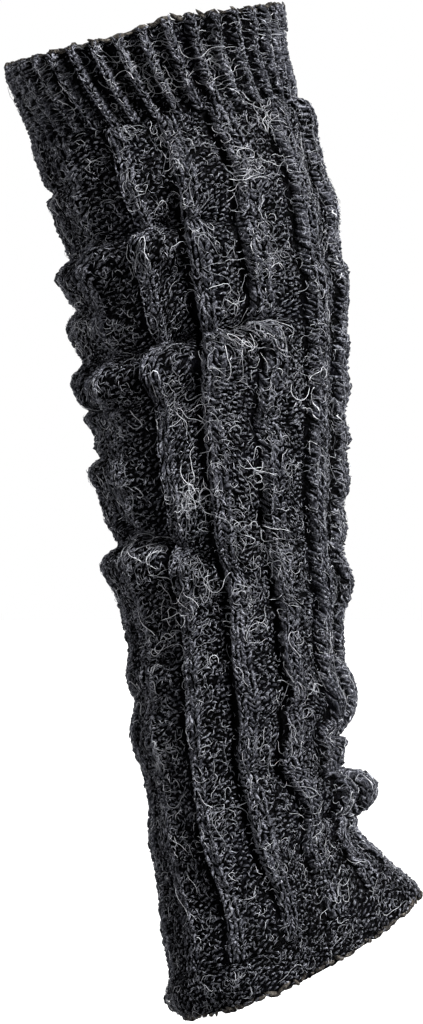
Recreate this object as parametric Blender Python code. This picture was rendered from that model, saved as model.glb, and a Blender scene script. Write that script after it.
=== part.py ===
"""A ribbed wool leg warmer, filled out as a lower leg fills it, with no leg inside.

It is one knitted tube in three stretches: a narrow-ribbed cuff below the knee, the wide-ribbed
leg that has slid down into soft slouch folds, and a flat band at the hem, which spreads over the
heel and the instep. Toes would point to +X. Every stretch is a wall of even thickness: a plain
inside, and an outside that carries the folds and the ribs.

Sizes are in metres. The leg leans, so the garment is worked out in leg coordinates first: how far
down the leg, which way round it, and how far out from it.
"""

import math
from collections import namedtuple

import bmesh
import bpy
from mathutils import Vector

# --- The leg's lie -----------------------------------------------------------------------------
LEAN = math.radians(9.5)
ACROSS = Vector((math.cos(LEAN), 0, math.sin(LEAN)))
DOWN = Vector((math.sin(LEAN), 0, -math.cos(LEAN)))
NEAR = Vector((0, -1, 0))

# --- The cloth ---------------------------------------------------------------------------------
CLOTH = 0.0026
RIB_RISE = 0.0040
CUFF_RISE = 0.0034
HEM_RISE = 0.0008
SEAM_GAP = 0.0004

# --- How far down the leg each stretch ends, and how its edge runs round the leg ----------------
# The origin is on the leg's axis, at the middle of the cuff, where the calf holds the garment up.
GRIP_AT = 0.020
TOP_SLOPE = 0.0032
CUFF_LENGTH = 0.040
HEM_MIDDLE = 0.4125
HEM_SLOPE = 0.0170
HEM_DROOP = 0.0105
HEM_BAND = 0.018

# --- Ribs ---------------------------------------------------------------------------------------
LEG_RIBS = 15
CUFF_RIBS = 38
RIB_START = math.radians(-3.5)
RIB_SWAY = math.radians(2.6)
SWAY_LENGTH = 0.092
SWAY_GROWS_OVER = 0.030
CUFF_TWIST = math.radians(14)
# Shares of the leg's length by which its ribs have grown from the cuff's, and from which they sink.
RIBS_GROWN_BY = 0.10
RIBS_SINK_FROM = 0.94
# Where a rib's corners lie, in shares of its width, and how high they stand, in shares of its rise.
LEG_RIB_CORNERS = ((0.00, 0.0), (0.37, 0.30), (0.50, 0.92), (0.87, 1.0))
CUFF_RIB_CORNERS = ((0.00, 0.0), (0.26, 1.0), (0.50, 0.0))

# --- How finely each wall is cut up -------------------------------------------------------------
CUFF_ROWS = 8
LEG_ROWS = 64
HEM_ROWS = 5
# Points round the outside of a wall for each point round its inside.
LEG_SHARING = 2
CUFF_SHARING = 3

# Outline of the garment over its rib tops: how far down the leg, how far the cloth stands off the
# leg's axis over the calf and over the shin, and its half width from side to side.
Section = namedtuple("Section", "down calf shin side")
SECTIONS = (
    Section(-0.004, 0.0645, 0.0642, 0.0610),
    Section(0.000, 0.0640, 0.0640, 0.0606),
    Section(0.015, 0.0620, 0.0612, 0.0592),
    Section(0.032, 0.0583, 0.0626, 0.0586),
    Section(0.043, 0.0562, 0.0643, 0.0590),
    Section(0.057, 0.0530, 0.0660, 0.0596),
    Section(0.085, 0.0508, 0.0690, 0.0602),
    Section(0.112, 0.0506, 0.0690, 0.0598),
    Section(0.138, 0.0508, 0.0674, 0.0586),
    Section(0.156, 0.0520, 0.0655, 0.0574),
    Section(0.177, 0.0520, 0.0612, 0.0560),
    Section(0.200, 0.0532, 0.0570, 0.0540),
    Section(0.217, 0.0524, 0.0530, 0.0524),
    Section(0.242, 0.0536, 0.0484, 0.0500),
    Section(0.267, 0.0528, 0.0436, 0.0474),
    Section(0.288, 0.0530, 0.0412, 0.0454),
    Section(0.322, 0.0542, 0.0346, 0.0428),
    Section(0.353, 0.0562, 0.0334, 0.0424),
    Section(0.364, 0.0566, 0.0388, 0.0430),
    Section(0.380, 0.0571, 0.0510, 0.0446),
    Section(0.392, 0.0576, 0.0584, 0.0460),
    Section(0.412, 0.0590, 0.0622, 0.0476),
    Section(0.434, 0.0596, 0.0630, 0.0480),
)

# Slouch folds: how far down the leg and which way round it each one stands out most (0 degrees is
# the shin, 90 the near side, 180 the calf, 270 the far side), how far round it reaches to either
# side, half its height, how far it stands out, how much lower it lies for each radian of turn, how
# deep the hollow above it is as a share of that, and how far it hangs down as a share of it (less
# than nothing where its upper face is a shelf).
Fold = namedtuple("Fold", "down turn reach height out drift hollow droop")
FOLDS = (
    Fold(0.048, 5, 60, 0.0062, 0.0046, 0.000, 0.2, 0.1),
    Fold(0.063, 88, 56, 0.0080, 0.0030, 0.000, 0.9, -0.3),
    Fold(0.065, 335, 50, 0.0070, 0.0018, 0.000, 0.0, 0.2),
    Fold(0.087, 352, 52, 0.0095, 0.0028, 0.004, 0.2, 0.2),
    Fold(0.099, 145, 92, 0.0084, 0.0056, 0.004, 0.9, -0.1),
    Fold(0.104, 265, 60, 0.0090, 0.0044, 0.000, 0.7, -0.3),
    Fold(0.122, 8, 44, 0.0100, 0.0032, 0.000, 0.2, 0.2),
    Fold(0.124, 196, 46, 0.0080, 0.0036, 0.000, 0.2, 0.0),
    Fold(0.148, 182, 48, 0.0058, 0.0036, 0.000, 0.0, 0.1),
    Fold(0.149, 124, 78, 0.0084, 0.0086, 0.002, 0.9, -0.15),
    Fold(0.150, 2, 40, 0.0068, 0.0018, 0.000, 0.0, 0.2),
    Fold(0.156, 282, 62, 0.0084, 0.0052, 0.000, 0.8, -0.4),
    Fold(0.167, 355, 42, 0.0064, 0.0026, 0.000, 0.2, 0.2),
    Fold(0.186, 165, 84, 0.0080, 0.0042, -0.002, 0.5, -0.2),
    Fold(0.189, 0, 46, 0.0066, 0.0028, 0.000, 0.2, 0.2),
    Fold(0.198, 250, 54, 0.0085, 0.0040, 0.000, 0.6, -0.2),
    Fold(0.208, 4, 48, 0.0070, 0.0034, 0.004, 0.2, 0.3),
    Fold(0.228, 356, 44, 0.0066, 0.0030, 0.000, 0.2, 0.3),
    Fold(0.232, 156, 84, 0.0084, 0.0060, -0.005, 0.9, -0.1),
    Fold(0.243, 278, 60, 0.0082, 0.0046, 0.000, 0.7, -0.3),
    Fold(0.251, 2, 52, 0.0088, 0.0058, -0.002, 0.2, 0.3),
    Fold(0.279, 170, 70, 0.0074, 0.0030, 0.000, 0.4, 0.0),
    Fold(0.284, 256, 50, 0.0080, 0.0040, 0.000, 0.6, -0.2),
    Fold(0.301, 4, 62, 0.0090, 0.0060, 0.004, 0.3, 0.3),
    Fold(0.305, 176, 72, 0.0098, 0.0046, 0.000, 0.3, 0.0),
    Fold(0.322, 272, 56, 0.0080, 0.0044, 0.000, 0.6, -0.2),
    Fold(0.340, 0, 66, 0.0086, 0.0128, 0.006, 0.1, 0.3),
    Fold(0.352, 184, 60, 0.0095, 0.0024, 0.000, 0.2, 0.0),
    Fold(0.366, 268, 50, 0.0078, 0.0034, 0.000, 0.4, 0.0),
    Fold(0.424, 182, 40, 0.0070, 0.0030, 0.000, 0.0, 0.0),
)
SHARPER_ABOVE = 1.18
SOFTER_BELOW = 0.90
HOLLOW_ABOVE = 1.45
HOLLOW_HEIGHT = 0.70
HOLLOW_DEPTH = 0.6
FOLDS_GROW_OVER = 0.010

SHARP_OVER = math.radians(50)
WOOL_ROUGHNESS = 0.92
WOOL_GREY = (0.035, 0.035, 0.040, 1)
WOOL_EDGE_GREY = (0.028, 0.028, 0.031, 1)


def clear_scene():
    """Leaves nothing in the scene."""
    for thing in list(bpy.data.objects):
        bpy.data.objects.remove(thing)


def outline(down):
    """The outline's (calf, shin, side) at a height, on a smooth curve through the sections."""
    last = len(SECTIONS) - 1
    row = 0
    while row < last - 1 and down > SECTIONS[row + 1].down:
        row += 1
    above, below = SECTIONS[row], SECTIONS[row + 1]
    step = below.down - above.down
    share = min(1, max(0, (down - above.down) / step))
    before, after = SECTIONS[max(row - 1, 0)], SECTIONS[min(row + 2, last)]
    sizes = []
    for column in (1, 2, 3):
        enter = (below[column] - before[column]) / (below.down - before.down) * step
        leave = (after[column] - above[column]) / (after.down - above.down) * step
        sizes.append(
            (1 + 2 * share) * (1 - share) ** 2 * above[column]
            + share * (1 - share) ** 2 * enter
            + share**2 * (3 - 2 * share) * below[column]
            + share**2 * (share - 1) * leave
        )
    return sizes


def turn_between(a, b):
    """The shorter way round from turn b to turn a, in radians."""
    return (a - b + math.pi) % (2 * math.pi) - math.pi


def slouch(down, turn):
    """How far the folds push the cloth out at a place on the leg, and how far down it hangs."""
    out = hang = 0.0
    for fold in FOLDS:
        round_leg = turn_between(turn, math.radians(fold.turn))
        reach = math.radians(fold.reach)
        if abs(round_leg) >= reach:
            continue
        fade = math.cos(0.5 * math.pi * round_leg / reach)
        off = (down - fold.down - fold.drift * round_leg) / fold.height
        crest = math.exp(-((off * (SHARPER_ABOVE if off < 0 else SOFTER_BELOW)) ** 2))
        hollow = math.exp(-(((off + HOLLOW_ABOVE) / HOLLOW_HEIGHT) ** 2))
        out += fold.out * fade * (crest - HOLLOW_DEPTH * fold.hollow * hollow)
        hang += fold.out * fade * crest * fold.droop
    grown = smooth_step(down, CUFF_LENGTH, CUFF_LENGTH + FOLDS_GROW_OVER)
    return out * grown, hang * grown


def smooth_step(value, low, high):
    """0 below low, 1 above high, and a soft slope between them."""
    share = min(1, max(0, (value - low) / (high - low)))
    return share * share * (3 - 2 * share)


def top_edge(turn):
    """How far down the leg the cuff's edge lies."""
    return -TOP_SLOPE * math.cos(turn)


def hem_edge(turn):
    """How far down the leg the hem lies: lowest behind the heel, highest on the instep."""
    return HEM_MIDDLE - HEM_SLOPE * math.cos(turn) + HEM_DROOP * math.sin(turn) ** 2


def band_edge(turn):
    """How far down the leg the ribs give way to the hem's flat band."""
    return hem_edge(turn) - HEM_BAND


def place(down, turn, out):
    """The point that far down the leg, that way round it, and that far out from the outline."""
    calf, shin, side = outline(down)
    middle, half = (shin - calf) / 2, (shin + calf) / 2
    level = Vector((math.cos(turn) / half, math.sin(turn) / side)).normalized()
    folded, hang = slouch(down, turn)
    across = middle + half * math.cos(turn) + (out + folded) * level.x
    near = side * math.sin(turn) + (out + folded) * level.y
    return ACROSS * across + NEAR * near + DOWN * (down + hang - GRIP_AT)


def sway(down, turn):
    """How far round the ribs wander from a straight line as they run down the leg."""
    grown = smooth_step(down, CUFF_LENGTH, CUFF_LENGTH + SWAY_GROWS_OVER)
    return grown * RIB_SWAY * math.sin(2 * math.pi * down / SWAY_LENGTH + 2 * turn)


def rib_columns(ribs, corners):
    """(turn, rise) for each column of a ribbed outside, with the rise as a share of the rib's."""
    width = 2 * math.pi / ribs
    return [
        (RIB_START + (rib + share) * width, rise)
        for rib in range(ribs)
        for share, rise in corners
    ]


def wall(name, material, outside, inside):
    """A closed wall between two stacks of rings, whose outer rings have more points than inner."""
    mesh = bmesh.new()
    outer = [[mesh.verts.new(point) for point in ring] for ring in outside]
    inner = [[mesh.verts.new(point) for point in ring] for ring in inside]
    for rings in (outer, inner):
        for upper, lower in zip(rings, rings[1:]):
            for i, j in neighbours(upper):
                mesh.faces.new((upper[i], lower[i], lower[j], upper[j]))
    for outer_rim, inner_rim in ((outer[0], inner[0]), (outer[-1], inner[-1])):
        close_rim(mesh, outer_rim, inner_rim)
    bmesh.ops.recalc_face_normals(mesh, faces=mesh.faces)
    data = bpy.data.meshes.new(name)
    mesh.to_mesh(data)
    mesh.free()
    data.materials.append(material)
    data.shade_smooth()
    data.set_sharp_from_angle(angle=SHARP_OVER)
    thing = bpy.data.objects.new(name, data)
    bpy.context.scene.collection.objects.link(thing)
    return thing


def neighbours(ring):
    """Pairs of following places in a closed ring."""
    return [(i, (i + 1) % len(ring)) for i in range(len(ring))]


def close_rim(mesh, outer_rim, inner_rim):
    """Joins the edges of the two faces of a wall, with several outer points to each inner one."""
    each = len(outer_rim) // len(inner_rim)
    for i, j in neighbours(inner_rim):
        fan = [outer_rim[(i * each + k) % len(outer_rim)] for k in range(each + 1)]
        half = (each + 1) // 2
        for k in range(each):
            corner = inner_rim[i] if k < half else inner_rim[j]
            mesh.faces.new((fan[k], fan[k + 1], corner))
        mesh.faces.new((fan[half], inner_rim[i], inner_rim[j]))


def plain_columns(columns, sharing):
    """The plain inside's columns, (turn, rise): one to each few of the outside's, evenly spread."""
    count = len(columns) // sharing
    return [(RIB_START + 2 * math.pi * place / count, 0) for place in range(count)]


def rings_between(rows, upper_edge, lower_edge, columns, twist, out):
    """Rings of points from one edge down to the other.

    twist(down, turn) says how far round a column has wandered, and out(share, rise) how far out
    it stands, where share runs from 0 at the upper edge to 1 at the lower one.
    """
    rings = []
    for row in range(rows + 1):
        share = row / rows
        ring = []
        for turn, rise in columns:
            top, bottom = upper_edge(turn), lower_edge(turn)
            down = top + share * (bottom - top)
            ring.append(place(down, turn + twist(down, turn), out(share, rise)))
        rings.append(ring)
    return rings


def wool(name, colour):
    """Dry, dull wool."""
    material = bpy.data.materials.new(name)
    material.use_nodes = True
    shader = material.node_tree.nodes["Principled BSDF"]
    shader.inputs["Base Color"].default_value = colour
    shader.inputs["Roughness"].default_value = WOOL_ROUGHNESS
    shader.inputs["Metallic"].default_value = 0.0
    return material


def make_cuff():
    """The cuff below the knee: narrow ribs, pulled aslant over the calf and straight on the shin."""
    lower = CUFF_LENGTH - SEAM_GAP / 2
    columns = rib_columns(CUFF_RIBS, CUFF_RIB_CORNERS)

    def twist(down, turn):
        return CUFF_TWIST * (1 - down / CUFF_LENGTH) * (1 - math.cos(turn)) / 2

    def side(columns, out):
        return rings_between(CUFF_ROWS, top_edge, lambda turn: lower, columns, twist, out)

    outside = side(columns, lambda share, rise: CUFF_RISE * (rise - 1))
    inside = side(plain_columns(columns, CUFF_SHARING), lambda share, rise: -CUFF_RISE - CLOTH)
    return wall("top_cuff", wool("cuff_wool", WOOL_GREY), outside, inside)


def leg_rise(share):
    """How high the leg's ribs stand: they grow below the cuff and sink away above the hem."""
    grown = CUFF_RISE + (RIB_RISE - CUFF_RISE) * smooth_step(share, 0, RIBS_GROWN_BY)
    return grown + (HEM_RISE - grown) * smooth_step(share, RIBS_SINK_FROM, 1)


def make_leg():
    """The leg, in wide ribs, from the cuff down to the hem's band."""
    columns = rib_columns(LEG_RIBS, LEG_RIB_CORNERS)

    def side(columns, out):
        return rings_between(
            LEG_ROWS,
            lambda turn: CUFF_LENGTH + SEAM_GAP / 2,
            lambda turn: band_edge(turn) - SEAM_GAP / 2,
            columns,
            sway,
            out,
        )

    outside = side(columns, lambda share, rise: leg_rise(share) * (rise - 1))
    inside = side(
        plain_columns(columns, LEG_SHARING), lambda share, rise: -leg_rise(share) - CLOTH
    )
    return wall("leg_tube", wool("leg_wool", WOOL_GREY), outside, inside)


def make_hem():
    """The flat band at the hem, over the heel and the instep."""
    columns = rib_columns(LEG_RIBS, LEG_RIB_CORNERS)

    def side(columns, out):
        return rings_between(
            HEM_ROWS, lambda turn: band_edge(turn) + SEAM_GAP / 2, hem_edge, columns, sway, out
        )

    outside = side(columns, lambda share, rise: HEM_RISE * (rise - 1))
    inside = side(plain_columns(columns, LEG_SHARING), lambda share, rise: -HEM_RISE - CLOTH)
    return wall("hem_band", wool("hem_wool", WOOL_EDGE_GREY), outside, inside)


clear_scene()
make_cuff()
make_leg()
make_hem()
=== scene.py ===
"""A ribbed leg warmer in hairy charcoal wool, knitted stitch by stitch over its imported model.

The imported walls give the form. Every piece here is first laid out flat, with x running round the
leg in ribs, y down it in courses and z out from the cloth, and is then wrapped on those walls.
Round the leg, turn 0 is the shin, 90 degrees the near side, 180 the calf and 270 the far side.
"""

import math

import bmesh
import bpy
import numpy as np
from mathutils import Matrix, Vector
from mathutils.bvhtree import BVHTree


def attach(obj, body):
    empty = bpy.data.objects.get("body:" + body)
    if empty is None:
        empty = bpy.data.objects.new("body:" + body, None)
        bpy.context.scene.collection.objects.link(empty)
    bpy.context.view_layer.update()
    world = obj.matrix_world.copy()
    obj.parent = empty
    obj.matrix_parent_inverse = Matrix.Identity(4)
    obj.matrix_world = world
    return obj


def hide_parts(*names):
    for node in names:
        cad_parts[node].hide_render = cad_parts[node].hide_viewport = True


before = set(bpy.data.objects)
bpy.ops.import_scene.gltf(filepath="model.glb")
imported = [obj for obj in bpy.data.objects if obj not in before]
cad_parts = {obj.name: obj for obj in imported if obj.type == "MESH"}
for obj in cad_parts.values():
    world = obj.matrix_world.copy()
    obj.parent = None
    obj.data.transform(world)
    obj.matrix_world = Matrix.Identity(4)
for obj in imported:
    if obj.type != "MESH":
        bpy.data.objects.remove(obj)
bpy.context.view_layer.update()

# --- Top cuff: the cloth ---
# The cuff is one-by-one rib, knitted first, which grips the calf below the knee. Its cloth is the
# felted body of the wool, under the stitches; its outside is near black, painted shade for the gaps
# between the stitches. It follows the imported cuff, whose plain inside it keeps, and its ribs lean
# where the tube has turned on the calf.

# The leg's own directions, which lean, and how far down it the origin lies, where it grips.
LEAN = math.radians(9.5)
ACROSS = np.array((math.cos(LEAN), 0, math.sin(LEAN)))
DOWN = np.array((math.sin(LEAN), 0, -math.cos(LEAN)))
NEAR = np.array((0, -1, 0))
GRIP_AT = 0.020
ROUND = 2 * math.pi

WALL_STEP = 0.0015
WALL_ROWS = np.arange(-0.002, 0.4305, WALL_STEP)
WALL_TURNS = np.radians(np.arange(0, 360, 2))
TURN_STEP = WALL_TURNS[1]
PAST_ANY_WALL = 0.2


def packed_walls():
    """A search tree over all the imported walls."""
    corners, faces = [], []
    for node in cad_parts.values():
        node.data.calc_loop_triangles()
        start = len(corners)
        corners += [corner.co.copy() for corner in node.data.vertices]
        faces += [[start + i for i in face.vertices] for face in node.data.loop_triangles]
    return BVHTree.FromPolygons(corners, faces)


def reach(walls, centre, way):
    """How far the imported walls' inside is from a place within them, or not a number past a rim."""
    distance = walls.ray_cast(Vector(centre), Vector(way), PAST_ANY_WALL)[3]
    return math.nan if distance is None else distance


def filled(table):
    """The table with each gap filled from the nearest rows above and below it."""
    table = table.copy()
    rows = np.arange(len(table))
    for column in table.T:
        known = ~np.isnan(column)
        column[~known] = np.interp(rows[~known], rows[known], column[known])
    return table


def blurred(table, rows, columns=0):
    """The table smoothed over so many rows, and so many columns, which run round the leg."""
    for axis, spread in ((0, rows), (1, columns)):
        if spread:
            half = math.ceil(3 * spread)
            weights = np.exp(-0.5 * (np.arange(-half, half + 1) / spread) ** 2)
            margins = [(0, 0)] * table.ndim
            margins[axis] = (half, half)
            padded = np.pad(table, margins, mode="wrap" if axis else "edge")
            table = sum(
                weight * np.roll(padded, -shift, axis).take(range(table.shape[axis]), axis)
                for shift, weight in enumerate(weights / weights.sum())
            )
    return table


# Each crease, in millimetres and degrees: how far down, its middle turn, its reach down and round,
# how deep its valley is, and how far it falls towards the calf.
CREASES = (
    # On the near side.
    (64, 72, 5, 22, 2.6, 0), (91.5, 112, 6, 52, 5.6, 1), (89, 98, 7.5, 13, 7.2, 0),
    (96, 86, 4.5, 18, 2.2, 0), (143, 114, 8.5, 60, 8.8, 8), (148, 58, 5, 18, 2, 0),
    (120, 68, 9, 9, 4.2, 0), (180, 66, 9, 10, 4, 0), (160, 128, 5, 26, 1.8, 0),
    (190, 132, 5, 30, 2, 0), (225, 126, 8, 46, 6.2, -19.5), (233, 75, 5, 36, 2.4, 2),
    (220, 70, 9, 8, 3.8, 0), (256, 58, 7, 26, 3.2, 4), (276, 120, 7, 30, 1.8, 0),
    (306, 62, 7, 24, 3.6, 4), (331, 84, 7, 22, 3, 0), (351, 40, 7, 30, 3.6, 5),
    # On the calf.
    (64.5, 180, 5, 45, 3.5, 0), (98.5, 180, 5, 45, 5.5, 0), (119, 180, 7, 45, 3, 0),
    (144, 175, 4, 14, 2.6, 0), (161, 180, 5.5, 45, 7, 0), (185, 180, 5.5, 45, 5.5, 0),
    (226, 180, 6, 45, 5, 0),
    # On the shin.
    (42.5, 0, 4.5, 30, 3.5, 0), (114, 0, 4, 40, 1.2, 0), (318, 0, 4.5, 40, 4, 0),
    (339.5, 0, 7.5, 40, 15.5, 0), (355.5, 0, 5.5, 40, 12, 0),
)
# Above its line a valley deepens slowly; below, it ends within this share of the reach, and a lip
# stands out.
STEP_SHARE = 0.38
LIP_BELOW = 0.75
LIP_HEIGHT = 0.6
LIP_SHARE = 0.34


def crease_depth():
    """How far out the creases move the knit, a row for each height and a column for each turn."""
    downs, turns = WALL_ROWS[:, None] * 1000, np.degrees(WALL_TURNS)
    moved = np.zeros((len(WALL_ROWS), len(WALL_TURNS)))
    for down, turn, high, wide, depth, fall in CREASES:
        off = (turns - turn + 180) % 360 - 180
        below = (downs - down - fall * off / wide) / high
        fade = np.exp(-((off / wide) ** 4))
        valley = np.exp(-(np.where(below > 0, below / STEP_SHARE, below) ** 2))
        lip = np.exp(-(((below - LIP_BELOW) / LIP_HEIGHT) ** 2))
        moved += depth * fade * (LIP_SHARE * lip - valley)
    return moved / 1000


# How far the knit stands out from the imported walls, in millimetres: how far down the leg, at the
# calf, at the shin.
SLACK = (
    (0, 0, 0), (30, -1, 0), (48, 1, 1), (100, -1, 1), (150, 0, -1), (168, -2, -1), (200, -1, -1),
    (230, -3, -1), (285, -2, 1), (330, -2, 1), (350, -3, -1), (372, -2, -4), (384, 0, -3),
    (392, 1, 0), (410, -3, 0), (420, -1, 0), (424, -2, 0), (431, -9, 0),
)


def slackened():
    """How far the knit stands out, a row for each height and a column for each turn."""
    downs, calf, shin = np.array(SLACK).T / 1000
    towards = np.cos(WALL_TURNS)
    calf = np.outer(np.interp(WALL_ROWS, downs, calf), np.maximum(-towards, 0) ** 2)
    return calf + np.outer(np.interp(WALL_ROWS, downs, shin), np.maximum(towards, 0) ** 2)


# How many rows and columns of the table smooth out the folds, and the walls' own flat faces.
OVER_FOLDS = 8
OVER_FACES = (1.0, 2.2)


def inside_table():
    """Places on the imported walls' inside, a row for each height and a column for each turn."""
    walls = packed_walls()
    axis = [DOWN * (down - GRIP_AT) for down in WALL_ROWS]
    four_ways = (ACROSS, -ACROSS, NEAR, -NEAR)
    sides = np.array([[reach(walls, middle, way) for way in four_ways] for middle in axis])
    shin, calf, near, far = blurred(filled(sides), OVER_FOLDS).T
    middles = axis + np.outer((shin - calf) / 2, ACROSS)
    half, side = (shin + calf) / 2, (near + far) / 2
    ways = half[:, None, None] * np.cos(WALL_TURNS)[None, :, None] * ACROSS
    ways = ways + side[:, None, None] * np.sin(WALL_TURNS)[None, :, None] * NEAR
    ways /= np.linalg.norm(ways, axis=2, keepdims=True)
    out = [[reach(walls, middle, way) for way in row] for middle, row in zip(middles, ways)]
    out = blurred(filled(np.array(out)), *OVER_FACES) + (slackened() + CREASED)
    return middles[:, None, :] + out[:, :, None] * ways


CREASED = crease_depth()
INSIDE = inside_table()
# Heights are read from between two rows, so the lowest lies a little above the last row.
LOWEST = len(INSIDE) - 1.001

# How far the cloth's face stands out from the walls' inside, and where the first rib lies.
CLOTH = 0.0026
RIB_START = math.radians(-3.5)


class Stretch:
    """A stretch of the tube between two edges, on which flat pieces are wrapped."""

    ROWS = 420

    def __init__(self, upper, lower, ribs, courses, corners, relief, wander, edging=None):
        self.ribs, self.courses, self.corners = ribs, courses, corners
        self.relief, self.wander = relief, wander
        self.edging = edging or (lambda x, share: 0)
        evenly = np.linspace(0, 1, self.ROWS)
        downs = np.empty((self.ROWS, len(WALL_TURNS)))
        for column, turn in enumerate(WALL_TURNS):
            line = upper(turn) + evenly * (lower(turn) - upper(turn))
            steps = np.diff(self._at(line, column), axis=0)
            along = np.concatenate(([0], np.cumsum(np.linalg.norm(steps, axis=1))))
            downs[:, column] = np.interp(evenly * along[-1], along, line)
        downs = blurred(downs, rows=0, columns=2)
        columns = range(len(WALL_TURNS))
        self.places = np.stack([self._at(downs[:, c], c) for c in columns], 1)
        wall_rows = np.rint((downs - WALL_ROWS[0]) / WALL_STEP).astype(int)
        self.creased = CREASED[np.clip(wall_rows, 0, len(CREASED) - 1), columns]
        down_way = np.gradient(self.places, axis=0)
        round_way = np.roll(self.places, -1, 1) - np.roll(self.places, 1, 1)
        outward = blurred(np.cross(round_way, down_way), rows=6, columns=3)
        self.outward = outward / np.linalg.norm(outward, axis=2, keepdims=True)

    @staticmethod
    def _at(downs, column):
        """The inside's places at some heights, in one column of the table."""
        row = np.clip((downs - WALL_ROWS[0]) / WALL_STEP, 0, LOWEST)
        above = row.astype(int)
        share = (row - above)[:, None]
        return INSIDE[above, column] * (1 - share) + INSIDE[above + 1, column] * share

    def wrap(self, flat, relief=None):
        """Where flat places lie on the leg: x in ribs, y in courses, z out from the cloth."""
        relief = relief or self.relief
        x, y, z = np.asarray(flat, float).T
        share = y / self.courses
        turn = RIB_START + x * ROUND / self.ribs
        turn = turn + self.wander(turn, share)
        share = share + self.edging(x, share)
        column = (turn % ROUND) / TURN_STEP
        left = column.astype(int) % len(WALL_TURNS)
        right = (left + 1) % len(WALL_TURNS)
        row = share * (self.ROWS - 1)
        above = np.clip(np.floor(row).astype(int), 0, self.ROWS - 2)
        across, drop = (column - np.floor(column))[:, None], (row - above)[:, None]
        found = []
        for table in (self.places, self.outward):
            upper = table[above, left] * (1 - across) + table[above, right] * across
            lower = table[above + 1, left] * (1 - across) + table[above + 1, right] * across
            found.append(upper * (1 - drop) + lower * drop)
        return found[0] + found[1] * (CLOTH + relief(x, share) + z)[:, None]


CUFF_RIBS = 38
CUFF_COLUMNS = 2
CUFF_COURSES = 18
CUFF_TWIST = math.radians(14)
CUFF_ENDS_AT = 0.040
TOP_SLOPE = 0.0032
TOP_DROP = 0.0016
# Where the upper edge bends: its turn and its reach round, in degrees, and how far it drops.
RIM_BENDS = ((75, 14, -0.0013), (104, 10, 0.0012))


def top_edge(turn):
    """How far down the leg the cuff's upper edge lies."""
    down = -TOP_SLOPE * math.cos(turn) + TOP_DROP * max(0, -math.cos(turn)) ** 2
    for middle, wide, drop in RIM_BENDS:
        down += drop * math.exp(-(((math.degrees(turn) - middle) / wide) ** 2))
    return down


def cuff_end(turn):
    """How far down the leg the cuff gives way to the wide ribs."""
    return CUFF_ENDS_AT


# A rib's corners: where they lie across it, and their heights as shares of its rise. Towards both
# edges of the cuff it grows less sharp and nears one even height.
CUFF_RISE = 0.0034
CUFF_RIDGE = 0.26
CUFF_CORNERS = (0.02, 0.12, CUFF_RIDGE, 0.40, 0.50, 0.76)
CUFF_HEIGHTS = (-0.45, 0.85, 1.0, 0.85, -0.45, -0.60)
CUFF_EVEN = 0.3
CUFF_SHARP = ((0, 0.12, 0.7, 1), (0.42, 1, 1, 0.45))
RIM_WAVE = 0.014
RIM_RAISED = 0.2
RIM_FADES_OVER = 0.06


def cuff_relief(x, share):
    """How far the cuff's cloth stands out: a narrow ridge and a wide, deep valley to a rib."""
    ridge = np.interp(x, CUFF_CORNERS, CUFF_HEIGHTS, period=1)
    sharp = np.interp(share, *CUFF_SHARP)
    return CUFF_RISE * (CUFF_EVEN + (ridge - CUFF_EVEN) * sharp)


def cuff_wander(turn, share):
    """How far round the cuff's ribs lie, because it has turned on the calf but not on the shin."""
    return CUFF_TWIST * (1 - share) * (1 - np.cos(turn)) / 2


def cuff_edging(x, share):
    """How far down its ribs' tops lie: each ridge stands a little above the valleys beside it."""
    wave = RIM_RAISED - np.cos(ROUND * (x - CUFF_RIDGE))
    return RIM_WAVE * np.exp(-np.maximum(share, 0) / RIM_FADES_OVER) * wave


cuff = Stretch(
    top_edge, cuff_end, CUFF_RIBS, CUFF_COURSES, CUFF_CORNERS, cuff_relief, cuff_wander, cuff_edging
)

# How far out the felt's two faces lie, and the share of a stretch in which its inside evens out.
UNDER_STITCHES = -0.0007
INSIDE_FACE = -0.0023
EVENED_OVER = 0.06


def plain_mesh(name, places, faces):
    """A smooth piece from its places and faces."""
    mesh = bpy.data.meshes.new(name)
    mesh.from_pydata([tuple(place) for place in places], [], [tuple(face) for face in faces])
    mesh.shade_smooth()
    piece = bpy.data.objects.new(name, mesh)
    bpy.context.scene.collection.objects.link(piece)
    return piece


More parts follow.
